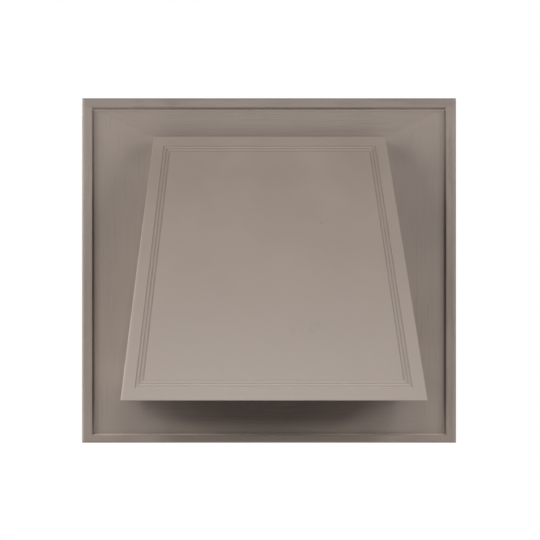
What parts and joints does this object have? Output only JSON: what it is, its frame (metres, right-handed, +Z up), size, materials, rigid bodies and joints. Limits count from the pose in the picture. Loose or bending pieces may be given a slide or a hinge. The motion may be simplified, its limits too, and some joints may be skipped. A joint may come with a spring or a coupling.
{
  "type": "hooded vent",
  "caption": "Hooded wall vent for round duct: push-fit trim ring with raised rim and mitred grained panel, sloping grooved hood, swinging damper flap and rear duct collar.",
  "frame": {"origin": "on the duct collar's axis, in the plane of the wall that the flange lies on", "axes": "+X to the viewer's right, +Y into the wall along the duct, +Z up; the hood faces -Y"},
  "size_m": [0.1906, 0.1451, 0.1755],
  "materials": {
    "base_plastic": "matte moulded polypropylene, taupe",
    "hinge_steel": "drawn steel wire",
    "damper_plastic": "matte moulded polypropylene, taupe",
    "hood_plastic": "smooth satin polypropylene, taupe",
    "ring_plastic": "polypropylene with moulded wood grain, taupe"
  },
  "bodies": {
    "vent": {"mounting_base": "base_plastic", "damper_hinge_rod": "hinge_steel", "hood": "hood_plastic", "trim_ring": "ring_plastic"},
    "damper": {"damper_flap": "damper_plastic"}
  },
  "joints": [
    {"name": "damper_hinge", "type": "hinge", "parent": "vent", "child": "damper", "pos_m": [0, -0.013, 0.054], "axis": [-1, 0, 0], "range_deg": [0, 34]}
  ]
}
